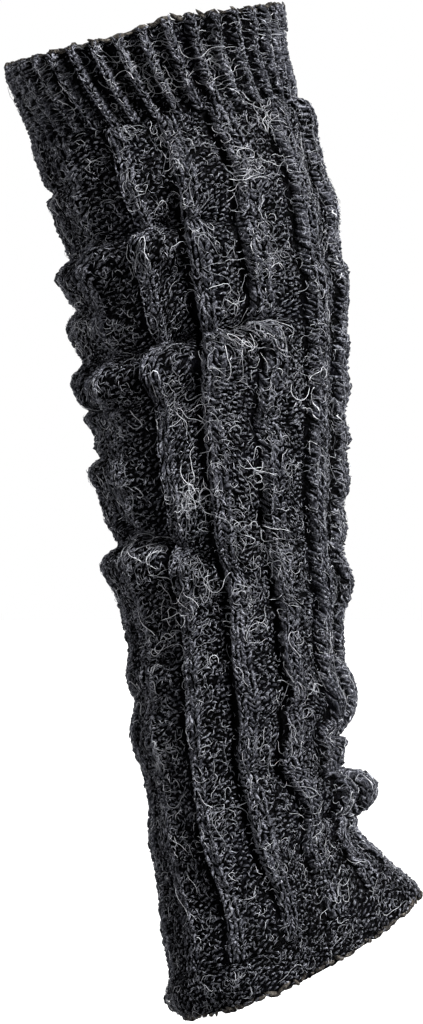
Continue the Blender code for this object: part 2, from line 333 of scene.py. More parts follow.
def cloth(name, stretch, knit_columns, down, upper_seam, lower_seam):
    """The felted wall under a stretch's stitches, with its columns where its relief turns.

    Its outside is painted near black, as the shade in the gaps between the stitches. Its inside
    follows the ribs, but evens out where it meets another stretch at a seam. Its UV map counts the
    knitted columns round it and the courses down it.
    """
    columns = np.add.outer(np.arange(stretch.ribs), stretch.corners).ravel()
    x, y = np.meshgrid(columns, np.linspace(0, stretch.courses, down))
    across = len(columns)
    x, y = x.ravel(), y.ravel()
    outside = stretch.wrap(np.stack((x, y, np.full(len(x), UNDER_STITCHES)), 1))
    share = y / stretch.courses
    seamed = np.interp(share, (0, EVENED_OVER, 1 - EVENED_OVER, 1), (upper_seam, 0, 0, lower_seam))
    plain = -CLOTH - stretch.relief(x, share)
    inside = stretch.wrap(np.stack((x, y, INSIDE_FACE + (plain - INSIDE_FACE) * seamed), 1))
    count = across * down
    place = np.arange(count).reshape(down, across)
    after = np.roll(place, -1, 1)
    quads = np.stack((place[:-1], after[:-1], after[1:], place[1:]), -1).reshape(-1, 4)
    top = np.stack((place[0] + count, after[0] + count, after[0], place[0]), -1)
    bottom = np.stack((place[-1], after[-1], after[-1] + count, place[-1] + count), -1)
    faces = np.concatenate((quads, quads[:, ::-1] + count, top, bottom))
    piece = plain_mesh(name, np.concatenate((outside, inside)), faces)
    corners = faces.ravel() % count
    along = (x[corners] * knit_columns).reshape(-1, 4)
    seam = (along.max(1) - along.min(1)) > knit_columns
    all_round = stretch.ribs * knit_columns
    along[seam] += np.where(along[seam] < all_round / 2, all_round, 0)
    uv = piece.data.uv_layers.new(name="strand")
    uv.data.foreach_set("uv", np.stack((along.ravel(), y[corners]), 1).astype(np.float32).ravel())
    piece.data.materials.append(felt_wool)
    piece.data.materials.append(inner_wool)
    inner = np.zeros(len(faces), np.int32)
    inner[len(quads) : 2 * len(quads)] = 1
    piece.data.polygons.foreach_set("material_index", inner)
    return piece


# The wool is spun from dark, mid and light grey fibres, so its colour is flecked, and each length
# of yarn has its own tone, at random, with the plain stitches on the ribs painted paler as light and
# the purled ones darker as shade.


def both_ways(operation):
    """An operator on links and numbers, and its reflected form, which add a Math node."""
    return (
        lambda link, other: calculated(operation, link, other),
        lambda link, other: calculated(operation, other, link),
    )


class Link:
    """A socket of a node tree; sums and products of links and numbers add their Math nodes."""

    __add__, __radd__ = both_ways("ADD")
    __sub__, __rsub__ = both_ways("SUBTRACT")
    __mul__, __rmul__ = both_ways("MULTIPLY")
    __truediv__, __rtruediv__ = both_ways("DIVIDE")
    __pow__, __rpow__ = both_ways("POWER")

    def __init__(self, tree, socket):
        self.tree, self.socket = tree, socket

    def out(self, name):
        """Another output of the same node."""
        return Link(self.tree, self.socket.node.outputs[name])

    def ramp(self, low, high, start=0.0, end=1.0):
        """From start to end as the link goes from low to high, and level on either side."""
        values = enumerate((self, low, high, start, end))
        return add_node(self.tree, "ShaderNodeMapRange", values=values)


def add_node(tree, kind, settings=None, values=(), output=0):
    """Adds a node, sets it, gives its inputs their values or links, and returns one output."""
    made = tree.nodes.new(kind)
    for name, setting in (settings or {}).items():
        setattr(made, name, setting)
    for name, value in dict(values).items():
        if isinstance(value, Link):
            tree.links.new(value.socket, made.inputs[name])
        else:
            made.inputs[name].default_value = value
    return Link(tree, made.outputs[output])


def calculated(operation, *values):
    """A Math node on links and numbers."""
    tree = next(value.tree for value in values if isinstance(value, Link))
    return add_node(tree, "ShaderNodeMath", {"operation": operation}, enumerate(values))


def mixed(share, first, second):
    """A colour between two others."""
    values = {0: share, 6: first, 7: second}
    return add_node(share.tree, "ShaderNodeMix", {"data_type": "RGBA"}, values, 2)


def noise(place, scale, detail):
    """An uneven number round a half, with so many spots to the metre."""
    values = {"Vector": place, "Scale": scale, "Detail": detail}
    return add_node(place.tree, "ShaderNodeTexNoise", values=values)


def single_fibres(place, scale, fine, seed):
    """Thin curled lines, one fibre wide, where a noise passes through its middle value."""
    values = {"Vector": place, "W": seed, "Scale": scale, "Detail": FIBRE_DETAIL}
    swirl = add_node(place.tree, "ShaderNodeTexNoise", {"noise_dimensions": "4D"}, values)
    return calculated("ABSOLUTE", swirl - 0.5).ramp(0.0, fine, 1.0, 0.0)


def new_material(name, rough, shine):
    """A material with its Principled shader, and that shader."""
    material = bpy.data.materials.new(name)
    material.use_nodes = True
    shader = material.node_tree.nodes["Principled BSDF"]
    shader.inputs["Roughness"].default_value = rough
    shader.inputs["Specular IOR Level"].default_value = shine
    return material, shader


# How fine the wool's patches, flecks and worn spots are, the patches' share of its unevenness, how
# far a yarn's tone shifts it, and where it turns from dark to middle.
PATCHES = 55
FLECKS = 620
WORN = 160
PATCHY = 0.4
TONED = 0.12
DARK_TO_MIDDLE = (0.50, 0.66)
# Each net of single fibres: its scale, how wide its lines are, and its seed.
CURLED = (360, 0.034, 1.0)
FINER = (560, 0.045, 2.0)
FINER_SHARE = 0.8
FIBRE_DETAIL = 0.6
# Where the wool is worn its fibres show, and the more of them the paler the yarn.
WORN_TO_FRESH = (0.40, 0.62, 0.3, 1.0)
SHOWN = 0.5
SHOWN_BY_TONE = 0.7
# The back of the knit, painted on the flat inside: how far its bars lean, how much they, the gaps
# between its columns and its flecks count, and where it turns from the painted shade of a hollow to
# wool.
BAR_LEAN = 0.3
BARS, GAPS, SPOTS = 3, 1.5, 4
PAINTED_SHADE_TO_WOOL = (0.5, 3.0)
# How high fibres and flecks stand.
FIBRE_HIGH = 0.7
FLECK_HIGH = 1.2
BUMP = {"Strength": 0.7, "Distance": 0.0005}


def wool(name, dark, middle, light, fibre, shine, knit=False):
    """Dull carded wool in three greys with single fibres on it, in courses if it is plain knit, with
    painted shade in the courses' hollows.
    """
    material, shader = new_material(name, rough=0.85, shine=shine)
    tree = material.node_tree
    place = add_node(tree, "ShaderNodeTexCoord", output="Object")
    tone = add_node(tree, "ShaderNodeAttribute", {"attribute_name": "tone"}, output="Fac")
    flecks = noise(place, FLECKS, detail=3)
    mix = noise(place, PATCHES, detail=2) * PATCHY + flecks * (1 - PATCHY)
    colour = mixed((mix + tone * TONED).ramp(*DARK_TO_MIDDLE), dark, middle)
    finer = single_fibres(place, *FINER) * FINER_SHARE
    lines = calculated("MAXIMUM", single_fibres(place, *CURLED), finer)
    lines = lines * noise(place, WORN, detail=2).ramp(*WORN_TO_FRESH)
    colour = mixed(lines * fibre * (tone * SHOWN_BY_TONE + SHOWN), colour, light)
    if knit:
        strand = add_node(tree, "ShaderNodeUVMap", {"uv_map": "strand"})
        column = add_node(tree, "ShaderNodeSeparateXYZ", values={"Vector": strand})
        bars = calculated("SINE", (column.out("Y") + column * BAR_LEAN) * ROUND)
        gaps = calculated("SINE", column * ROUND)
        # Painted shade: where the bars, gaps and flecks say hollow, the flat inside is painted the
        # dark grey.
        hollow_shade_to_wool = (bars * BARS + gaps * GAPS + flecks * SPOTS).ramp(*PAINTED_SHADE_TO_WOOL)
        colour = mixed(hollow_shade_to_wool, dark, colour)
    tree.links.new(colour.socket, shader.inputs["Base Color"])
    height = lines * FIBRE_HIGH + flecks * FLECK_HIGH
    bump = add_node(tree, "ShaderNodeBump", values={"Height": height, **BUMP}, output="Normal")
    tree.links.new(bump.socket, shader.inputs["Normal"])
    return material


# Painted shade: the felt under the stitches is near black, darker than any yarn, and stands for the
# shade in the gaps between them.
felt_wool = wool(
    "felt_wool",
    dark=(0.001, 0.001, 0.001, 1),
    middle=(0.002, 0.002, 0.003, 1),
    light=(0.03, 0.03, 0.035, 1),
    fibre=0.5,
    shine=0.0,
)
inner_wool = wool(
    "inner_wool",
    dark=(0.002, 0.002, 0.003, 1),
    middle=(0.040, 0.041, 0.048, 1),
    light=(0.22, 0.22, 0.25, 1),
    fibre=1.1,
    shine=0.08,
    knit=True,
)

cuff_cloth = cloth("cuff_cloth", cuff, CUFF_COLUMNS, down=17, upper_seam=0, lower_seam=1)
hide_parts("top_cuff")
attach(cuff_cloth, "root")

# --- Top cuff: the stitches ---
# Each rib of the cuff is a column of plain stitches, two leaning strands each, and each valley a
# column of purled ones, of which only a bar shows. A course of one rib is set out in millimetres
# and repeated round and down the cuff.

yarn_wool = wool(
    "yarn_wool",
    dark=(0.002, 0.002, 0.003, 1),
    middle=(0.021, 0.022, 0.028, 1),
    light=(0.31, 0.315, 0.36, 1),
    fibre=0.9,
    shine=0.08,
)
edge_wool = wool(
    "edge_wool",
    dark=(0.004, 0.003, 0.003, 1),
    middle=(0.046, 0.040, 0.034, 1),
    light=(0.24, 0.22, 0.19, 1),
    fibre=0.8,
    shine=0.08,
)

COLUMN = 4.15
COURSE = 2.35
# A strand's rings: how far along it each lies, and how thick the strand is there.
LONG_STRAND = ((0, 0), (0.16, 0.72), (0.5, 1.0), (0.84, 0.72), (1, 0))
SHORT_STRAND = ((0, 0), (0.27, 1.0), (0.73, 1.0), (1, 0))
LONG_SIDES = 4
SHORT_SIDES = 3
STRAND_FLAT = 0.85


def yarn_mesh():
    """An empty mesh under construction, and its UV map along and around the yarn."""
    mesh = bmesh.new()
    return mesh, mesh.loops.layers.uv.new("strand")


def add_yarn(mesh, uv, centres, swells, thick, sides, flat=STRAND_FLAT):
    """Adds a closed length of yarn along its centres, as thick at each as its swell says."""
    rings = []
    for index, (centre, swell) in enumerate(zip(centres, swells)):
        if not swell:
            rings.append([mesh.verts.new(centre)] * sides)
            continue
        way = (centres[index + 1] - centres[index - 1]).normalized()
        side = way.cross(Vector((0, 0, 1))).normalized()
        over = side.cross(way)
        ring = []
        for corner in range(sides):
            angle = ROUND * corner / sides
            out = side * math.cos(angle) + over * math.sin(angle) * flat
            ring.append(mesh.verts.new(centre + out * thick * swell / 2))
        rings.append(ring)
    share = [index / (len(centres) - 1) for index in range(len(centres))]
    for upper, lower, up, down in zip(rings, rings[1:], share, share[1:]):
        for corner in range(sides):
            after = (corner + 1) % sides
            low, high = corner / sides, (corner + 1) / sides
            around = ((upper[corner], up, low), (upper[after], up, high))
            around += ((lower[after], down, high), (lower[corner], down, low))
            kept = []
            for vert, along, turn in around:
                if vert not in [other[0] for other in kept]:
                    kept.append((vert, along, turn))
            face = mesh.faces.new([vert for vert, _, _ in kept])
            for loop, (_, along, turn) in zip(face.loops, kept):
                loop[uv].uv = (along, turn)


def add_strand(mesh, uv, path, thick, swells=LONG_STRAND, sides=LONG_SIDES):
    """Adds one strand of a stitch: a bow through path's start, middle and end."""
    start, middle, end = (Vector(place) for place in path)
    middle = 2 * middle - (start + end) / 2
    centres = [
        start * (1 - along) ** 2 + middle * 2 * along * (1 - along) + end * along**2
        for along, _ in swells
    ]
    add_yarn(mesh, uv, centres, [swell for _, swell in swells], thick, sides)


# A strand's start, middle and end: how far across, down and out. Across and down are in columns and
# courses, from the middle of a plain stitch and the left of a purled one, and out in millimetres.
# A link of a chain has one strand over the edge and one behind it; only its across is in links.
PLAIN_PATH = ((0.44, -0.30, -0.15), (0.29, 0.40, 0.55), (0.05, 1.12, 0.05))
PURLED_PATH = ((0.00, 0.14, -0.5), (0.27, 0.18, 0.45), (0.54, 0.42, -0.5))
CHAIN_PATHS = [((-0.08, -0.1, -0.8), (0.45, 0.1, out), (1.10, -0.1, -0.8)) for out in (0.25, -1.85)]
PLAIN_THICK = 1.25
PURLED_THICK = 1.05
SUNK_THICK = 0.95
SUNK_DEPTH = 1.0
CHAIN_THICK = 1.9


def add_plain(mesh, uv, left):
    """A plain stitch: two strands that meet low in the middle of its column."""
    middle = left + COLUMN / 2
    for side in (-1, 1):
        path = [
            (middle + side * across * COLUMN, down * COURSE, out)
            for across, down, out in PLAIN_PATH
        ]
        add_strand(mesh, uv, path, PLAIN_THICK)


def add_purl(mesh, uv, left, thick=PURLED_THICK, depth=0.0):
    """A purled stitch: the heads of two loops, half a course apart, pulled aslant by the twist."""
    for step in (0, 0.5):
        path = [
            (left + (step + across) * COLUMN, (step + down) * COURSE, out - depth)
            for across, down, out in PURLED_PATH
        ]
        add_strand(mesh, uv, path, thick, SHORT_STRAND, SHORT_SIDES)


def add_sunk_purl(mesh, uv, left):
    """A purled stitch that the ribs beside it have closed over."""
    add_purl(mesh, uv, left, SUNK_THICK, SUNK_DEPTH)


def chain_course(name, rib, links, drop):
    """One rib's share of an edge's chain, in millimetres, so far below the edge."""
    mesh, uv = yarn_mesh()
    wide = rib / links
    for link in range(links):
        left = link * rib / links
        for strand in CHAIN_PATHS:
            path = [(left + across * wide, drop + down, out) for across, down, out in strand]
            add_strand(mesh, uv, path, CHAIN_THICK)
    return finished_mesh(name, mesh)


def rib_course(name, columns):
    """One course of one rib as an object, from (stitch, left edge) pairs, in millimetres."""
    mesh, uv = yarn_mesh()
    for stitch, left in columns:
        stitch(mesh, uv, left)
    return finished_mesh(name, mesh)


def finished_mesh(name, mesh):
    """An object from a mesh under construction, with its faces outward."""
    bmesh.ops.recalc_face_normals(mesh, faces=mesh.faces)
    data = bpy.data.meshes.new(name)
    mesh.to_mesh(data)
    mesh.free()
    data.shade_smooth()
    return bpy.data.objects.new(name, data)


def strand_sizes(course):
    """How many corners each strand of a course has, in their order."""
    part = np.arange(len(course.data.vertices))
    edges = np.array([edge.vertices for edge in course.data.edges])
    for _ in range(len(LONG_STRAND) * 2):
        np.minimum.at(part, edges[:, 0], part[edges[:, 1]])
        np.minimum.at(part, edges[:, 1], part[edges[:, 0]])
    return np.unique(part, return_counts=True)[1]


def geometry_tree(name, inputs):
    """An empty Geometry Nodes tree with named inputs, and links to them."""
    tree = bpy.data.node_groups.new(name, "GeometryNodeTree")
    tree.interface.new_socket("Geometry", in_out="INPUT", socket_type="NodeSocketGeometry")
    tree.interface.new_socket("Geometry", in_out="OUTPUT", socket_type="NodeSocketGeometry")
    for label, kind in inputs.items():
        tree.interface.new_socket(label, in_out="INPUT", socket_type="NodeSocket" + kind)
    entry = tree.nodes.new("NodeGroupInput")
    return tree, {socket.name: Link(tree, socket) for socket in entry.outputs if socket.name}


def drawn(low, high, seed):
    """A random number between two others for each point."""
    values = {2: low, 3: high, "Seed": seed}
    return add_node(seed.tree, "FunctionNodeRandomValue", {"data_type": "FLOAT"}, values, 1)


def finish_tree(tree, geometry, material):
    """Makes the tree's instances real, gives them their wool, and puts them out."""
    real = add_node(tree, "GeometryNodeRealizeInstances", values={0: geometry})
    values = {"Geometry": real, "Material": material}
    made = add_node(tree, "GeometryNodeSetMaterial", values=values)
    end = tree.nodes.new("NodeGroupOutput")
    tree.links.new(made.socket, end.inputs[0])


def grown(name, tree, base, values):
    """The plain mesh that a tree makes on a base mesh with the given inputs."""
    scene = bpy.context.scene.collection
    carrier = bpy.data.objects.new(name + "_base", base)
    scene.objects.link(carrier)
    modifier = carrier.modifiers.new("grow", "NODES")
    modifier.node_group = tree
    for item in tree.interface.items_tree:
        if item.in_out == "INPUT" and item.name in values:
            modifier[item.identifier] = values[item.name]
    bpy.context.view_layer.update()
    evaluated = carrier.evaluated_get(bpy.context.evaluated_depsgraph_get())
    mesh = bpy.data.meshes.new_from_object(evaluated)
    mesh.name = name
    bpy.data.objects.remove(carrier)
    piece = bpy.data.objects.new(name, mesh)
    scene.objects.link(piece)
    return piece


def knitting_tree():
    """Repeats one course of one rib round and down, each jogged down or up a little."""
    inputs = {"Course": "Object", "Ribs": "Int", "Courses": "Int", "First Course": "Int"}
    inputs |= {"Rib Width": "Float", "Course Height": "Float", "Jog": "Float"}
    tree, given = geometry_tree("knitting", inputs | {"Wool": "Material", "Seed": "Int"})
    index = add_node(tree, "GeometryNodeInputIndex")
    row = calculated("FLOOR", index / given["Ribs"])
    x = (index - row * given["Ribs"]) * given["Rib Width"]
    y = (row + given["First Course"]) * given["Course Height"]
    jog = drawn(-1.0, 1.0, given["Seed"]) * given["Jog"]
    spot = add_node(tree, "ShaderNodeCombineXYZ", values={"X": x, "Y": y + jog})
    count = given["Ribs"] * given["Courses"]
    points = add_node(tree, "GeometryNodePoints", values={"Count": count, "Position": spot})
    info = {"Object": given["Course"]}
    course = add_node(tree, "GeometryNodeObjectInfo", values=info, output="Geometry")
    repeated = {"Points": points, "Instance": course}
    repeats = add_node(tree, "GeometryNodeInstanceOnPoints", values=repeated)
    finish_tree(tree, repeats, given["Wool"])
    return tree


KNITTING = knitting_tree()

# How many waves make up an unevenness, how often each runs round at most, how steeply it falls,
# and how high they are together.
WAVES = 7
TIMES_ROUND = 5
WAVE_FALL = 0.35
WAVES_HIGH = 2.6


def waves(x, y, seed):
    """A smooth, uneven number about nought for each flat place, the same on every run."""
    draw = np.random.default_rng(seed)
    total = np.zeros(len(x))
    for _ in range(WAVES):
        across, down = draw.integers(1, TIMES_ROUND + 1), draw.normal(0, WAVE_FALL)
        total += np.sin(ROUND * (across * x + down * y) + draw.uniform(0, ROUND))
    return total / WAVES_HIGH


def placed_mesh(piece):
    """The places of a piece's corners."""
    places = np.empty(len(piece.data.vertices) * 3, np.float32)
    piece.data.vertices.foreach_get("co", places)
    return places.reshape(-1, 3).astype(float)


def put(piece, places):
    """Moves a piece's corners to their places."""
    piece.data.vertices.foreach_set("co", places.astype(np.float32).ravel())
    piece.data.update()


# How loose long strands and short ones are, and how far a strand turns, stretches and shifts.
LONG_LOOSE = 0.8
SHORT_LOOSE = 1.15
TURNED = 0.34
STRETCHED = 0.18
SHIFTED = (0.28, 0.24, 0.25)


def loosened(places, strand, seed):
    """Flat strands, each turned, shifted, stretched and lifted by itself, the short ones more."""
    draw = np.random.default_rng(seed)
    count = strand[-1] + 1
    sizes = np.bincount(strand)
    loose = np.where(sizes > sizes.min(), LONG_LOOSE, SHORT_LOOSE)[:, None]
    middles = np.stack([np.bincount(strand, axis) / sizes for axis in places.T], 1)
    turn = (draw.normal(0, TURNED, (count, 1)) * loose)[strand, 0]
    off = (places - middles[strand]) * draw.normal(1, STRETCHED, (count, 1))[strand]
    x = off[:, 0] * np.cos(turn) - off[:, 1] * np.sin(turn)
    y = off[:, 0] * np.sin(turn) + off[:, 1] * np.cos(turn)
    shift = draw.normal(0, 1, (count, 3)) * SHIFTED * loose
    return (middles + shift)[strand] + np.stack((x, y, off[:, 2]), 1)


JOG = 0.15
# How far the courses stray, the columns and the face, in courses, ribs and metres, over how many
# courses, and the seed.
COURSES_STRAY = (0.25, 60, 11)
COLUMNS_STRAY = (0.030, 25, 12)
FACE_STRAYS = (0.00025, 12, 13)
FACE_FINER = 5
# How much a yarn's tone varies at random, and how much paler long strands are than short ones. The
# long strands are the plain stitches on the raised ribs, so this is painted light on the ribs and
# painted shade on the purled stitches between them.
TONES = 0.75
RIB_LIGHT_PURL_SHADE = 0.35


def strayed(round_leg, y, far, over, seed):
    """How far each flat place strays."""
    return far * waves(round_leg, y / over, seed)


def stitches(name, stretch, course, width, seed, material=yarn_wool, first=0, courses=None):
    """Knits some courses of a stretch and wraps them on it, its plain stitches painted paler as
    light on the ribs.
    """
    courses = courses or stretch.courses
    values = {"Course": course, "Ribs": stretch.ribs, "Courses": courses, "First Course": first}
    values |= {"Rib Width": width, "Course Height": COURSE, "Jog": JOG}
    values |= {"Wool": material, "Seed": seed}
    piece = grown(name, KNITTING, bpy.data.meshes.new(name + "_base"), values)
    sizes = np.tile(strand_sizes(course), stretch.ribs * courses)
    strand = np.repeat(np.arange(len(sizes)), sizes)
    x, y, z = loosened(placed_mesh(piece), strand, seed).T
    x, y, z = x / width, y / COURSE, z / 1000
    round_leg = x / stretch.ribs
    y = y + strayed(round_leg, y, *COURSES_STRAY)
    x = x + strayed(round_leg, y, *COLUMNS_STRAY)
    z = z + strayed(round_leg * FACE_FINER, y, *FACE_STRAYS)
    put(piece, stretch.wrap(np.stack((x, y, z), 1)))
    tones = np.random.default_rng(seed + 1).uniform(0, TONES, len(sizes)).astype(np.float32)
    # Painted light and shade: long strands, the plain stitches on the ribs, are paler than the
    # purled ones in the hollows.
    tones += RIB_LIGHT_PURL_SHADE * (sizes > sizes.min())
    piece.data.attributes.new("tone", "FLOAT", "POINT").data.foreach_set("value", tones[strand])
    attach(piece, "root")
    return piece


CUFF_RIB = 9.6
CUFF_PURLED_AT = 0.55
cuff_course = rib_course(
    "cuff_course",
    ((add_plain, CUFF_RIDGE * CUFF_RIB - COLUMN / 2), (add_sunk_purl, CUFF_PURLED_AT * CUFF_RIB)),
)
cuff_stitches = stitches("cuff_stitches", cuff, cuff_course, CUFF_RIB, seed=3)
cuff_link = chain_course("cuff_link", CUFF_RIB, CUFF_COLUMNS, drop=0.4)
cuff_chain = stitches(
    "cuff_chain", cuff, cuff_link, CUFF_RIB, 7, edge_wool, first=0, courses=1
)

# --- The leg ---
# The leg carries on in wide ribs, two plain columns to three purled ones, and has slid down into
# slouch folds. It is knitted in one, and made here in three lengths.

LEG_RIBS = 15
LEG_COLUMNS = 5
LEG_COURSES = 150
HEM_MIDDLE = 0.4125
HEM_SLOPE = 0.0170
HEM_DROOP = 0.0105
HEM_BAND = 0.018


def band_edge(turn):
    """How far down the leg the ribs give way to the hem's flat band."""
    return hem_edge(turn) - HEM_BAND


def hem_edge(turn):
    """How far down the leg the hem lies."""
    return HEM_MIDDLE - HEM_SLOPE * math.cos(turn) + HEM_DROOP * math.sin(turn) ** 2


# A rib's corners, as on the cuff, and how far its rise goes from seam to seam.
RIB_RISE = 0.0043
HEM_RISE = 0.0008
LEG_CORNERS = (0.03, 0.08, 0.13, 0.30, 0.52, 0.66, 0.78, 0.90, 0.96)
LEG_HEIGHTS = (-0.55, -0.15, 0.12, 0.40, 0.68, 1.10, 0.76, 1.10, -0.10)
LEG_RISES = ((0, 0.06, 0.90, 1), (0.6 * RIB_RISE, RIB_RISE, RIB_RISE, HEM_RISE))
SHUT_HEIGHT = 0.25

# The near side's grooves, from the shin round, and the bends of each: hundredths of the way down
# the leg, degrees that it has strayed round, and tenths that it is open.
GROOVES = (
    ((0, 0, 10), (100, 0, 10)),
    (
        (0, 0, 5), (14, -2, 3), (36, 0, 3), (48, 1, 3), (58, -4, 3), (68, -4, 3), (72, -7, 3),
        (77, -3, 3), (84, -4, 4), (96, 0, 7), (100, 0, 7),
    ),
    (
        (0, 0, 3), (4, 0, 3), (9, -3, 10), (36, -3, 10), (48, 0, 10), (52, -5, 10), (56, -5, 5),
        (61, -8, 10), (68, -8, 10), (72, -12, 6), (76, -5, 8), (83, -9, 3), (90, -4, 3),
        (96, 3, 9), (100, 6, 9),
    ),
    (
        (0, 4, 10), (8, 1, 8), (15, 4, 5), (21, 2, 10), (28, 5, 10), (32, -1, 10), (36, 2, 3),
        (40, 4, 8), (44, 2, 3), (50, 1, 10), (56, 0, 6), (60, -3, 10), (67, -4, 10), (72, -7, 8),
        (76, -3, 6), (81, 1, 10), (88, -8, 8), (92, 2, 6), (100, 6, 10),
    ),
    (
        (0, 3, 2), (8, 3, 2), (12, 6, 5), (17, 4, 4), (26, 4, 10), (32, 2, 4), (38, 5, 8),
        (50, 5, 3), (56, 3, 4), (60, 1, 10), (75, 0, 10), (80, 3, 9), (86, 1, 10), (100, 2, 10),
    ),
    (
        (0, 3, 8), (26, 3, 6), (36, 4, 9), (52, 4, 5), (60, 3, 10), (82, 6, 10), (92, 6, 8),
        (100, 6, 2),
    ),
    ((0, 13, 10), (60, 12, 10), (100, 10, 10)),
    ((0, 7, 10), (100, 7, 10)),
)
STRAYED, OPEN = 1, 2

# The ribs' sway: how far round, over what length, and the share of the leg in which it sets in. It
# is gone between the first two turns and full from the third.
RIB_SWAY = math.radians(2.6)
SWAY_LENGTH = 0.092
SWAY_STARTS_OVER = 0.08
SWAY_TURNS = (20, 140, 168)


def gently(share):
    """A share of a way that sets out and arrives gently."""
    return share**2 * (3 - 2 * share)


def eased(share, bends, column):
    """What a groove's bends say in one column, easing from each bend to the next."""
    bends = np.array(bends) / (100, 1, 10)
    place = np.interp(share, bends[:, 0], range(len(bends)))
    above = np.minimum(place.astype(int), len(bends) - 2)
    step = gently(place - above)
    return bends[above, column] * (1 - step) + bends[above + 1, column] * step


def groove_floor(x, share):
    """The lowest that the relief goes beside each groove; a shut one is level with its slope."""
    opened = np.ones(len(x))
    nearest = np.rint(x).astype(int)
    for groove, bends in enumerate(GROOVES):
        beside = nearest == groove
        opened[beside] = eased(share[beside], bends, OPEN)
    return SHUT_HEIGHT + (min(LEG_HEIGHTS) - SHUT_HEIGHT) * opened


def leg_relief(x, share):
    """How far the leg's cloth stands out: a narrow groove, then a slope up to a flat rib."""
    ribbed = np.interp(x, LEG_CORNERS, LEG_HEIGHTS, period=1)
    return np.interp(share, *LEG_RISES) * np.maximum(ribbed, groove_floor(x, share))


def leg_wander(turn, share):
    """How far round the leg's ribs lie: beside the grooves as those stray, and beyond in a sway."""
    share = np.broadcast_to(share, turn.shape)
    start, spacing = math.degrees(RIB_START), 360 / LEG_RIBS
    degrees = (np.degrees(turn) - start) % 360 + start
    place = np.clip((degrees - start) / spacing, 0, len(GROOVES))
    strays = [eased(share, bends, STRAYED) for bends in GROOVES]
    strays = np.stack([*strays, np.zeros(len(share)), np.zeros(len(share))])
    left = place.astype(int)
    across = gently(place - left)
    each = np.arange(len(share))
    stray = strays[left, each] * (1 - across) + strays[left + 1, each] * across
    down = CUFF_ENDS_AT + share * (HEM_MIDDLE - CUFF_ENDS_AT)
    sway = RIB_SWAY * np.clip(share / SWAY_STARTS_OVER, 0, 1)
    sway = sway * np.sin(ROUND * down / SWAY_LENGTH + 2 * turn)
    return np.radians(stray) + sway * np.interp(degrees, (start, *SWAY_TURNS), (1, 0, 0, 1))


leg = Stretch(cuff_end, band_edge, LEG_RIBS, LEG_COURSES, LEG_CORNERS, leg_relief, leg_wander)
leg_cloth = cloth("leg_cloth", leg, LEG_COLUMNS, down=130, upper_seam=1, lower_seam=1)
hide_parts("leg_tube")
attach(leg_cloth, "root")

LEG_RIB = 23.0
PURLED_FROM = 2.0
PLAIN_FROM = 14.0
LENGTH = LEG_COURSES // 3
leg_course = rib_course(
    "leg_course",
    [(add_purl, PURLED_FROM + column * COLUMN) for column in range(3)]
    + [(add_plain, PLAIN_FROM + column * COLUMN) for column in range(2)],
)
leg_stitches = [
    stitches(name, leg, leg_course, LEG_RIB, 20 + first, first=first, courses=LENGTH)
    for name, first in zip(
        ("leg_stitches_upper", "leg_stitches_middle", "leg_stitches_lower"), (0, LENGTH, 2 * LENGTH)
    )
]

# --- The hem ---
# A flat band of a few courses in the same wool, the stitches of the ribs drawn level, which spreads
# over heel and instep and ends in a cast-off chain.

HEM_COURSES = 8
HEM_CORNERS = np.arange(0, 1, 0.125)
HEM_RIDGE = 0.73


def hem_relief(x, share):
    """How far the hem's cloth stands out: it lies nearly flat."""
    return HEM_RISE * (0.5 + 0.5 * np.cos(ROUND * (x - HEM_RIDGE))) * (1 - share)


def hem_wander(turn, share):
    """How far round the hem's columns lie: they carry straight on from the leg's."""
    return leg_wander(turn, 1.0)


hem = Stretch(band_edge, hem_edge, LEG_RIBS, HEM_COURSES, HEM_CORNERS, hem_relief, hem_wander)
hem_cloth = cloth("hem_cloth", hem, LEG_COLUMNS, down=17, upper_seam=1, lower_seam=0)
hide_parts("hem_band")
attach(hem_cloth, "root")
hem_course = rib_course(
    "hem_course", [(add_purl, column * LEG_RIB / LEG_COLUMNS) for column in range(LEG_COLUMNS)]
)
hem_stitches = stitches("hem_stitches", hem, hem_course, LEG_RIB, seed=5)
hem_link = chain_course("hem_link", LEG_RIB, LEG_COLUMNS, drop=-0.6)
hem_chain = stitches(
    "hem_chain", hem, hem_link, LEG_RIB, 8, edge_wool, first=HEM_COURSES, courses=1
)

# --- The wool's hairs ---
# Pale kemp hairs have worked out of the yarn: a few long curls, many short ones, and a nap of
# fine fuzz. They lie close over the stitches and bridge the grooves between the ribs.

HAIR_SIDES = 3
HAIR_SHAPES = 16
# From ring to ring a hair keeps this share of its turning. Its middle rises so far, unevenly.
TURNING_KEPT = 0.65
CURL_HIGH = 0.35
CURL_UNEVEN = 0.15
# The shortest shape's share of the length, and how much more the longest has.
SHORTEST = 0.7
LONGER = 0.6


def curl(name, length, thick, rings, bend, seed):
    """A curly hair as an object, in millimetres: its ends dive into the cloth."""
    draw = np.random.default_rng(seed)
    heading = 0.0
    turning = draw.normal(0, bend)
    place = np.zeros(3)
    centres = [Vector(place)]
    for ring in range(rings + 1):
        turning = TURNING_KEPT * turning + draw.normal(0, bend)
        heading += turning
        place = place + np.array((math.cos(heading), math.sin(heading), 0)) * length / (rings + 1)
        rise = math.sin(math.pi * (ring + 1) / (rings + 1)) + draw.normal(0, CURL_UNEVEN)
        centres.append(Vector((place[0], place[1], CURL_HIGH * rise)))
    mesh, uv = yarn_mesh()
    add_yarn(mesh, uv, centres, [0] + [1] * rings + [0], thick, HAIR_SIDES, flat=1.0)
    return finished_mesh(name, mesh)


def curls(name, length, thick, rings, bend, seed):
    """A collection of different hairs of one kind."""
    shapes = bpy.data.collections.new(name)
    for index in range(HAIR_SHAPES):
        share = SHORTEST + LONGER * index / (HAIR_SHAPES - 1)
        hair = curl(f"{name}_{index}", length * share, thick, rings, bend, seed + index)
        shapes.objects.link(hair)
    return shapes


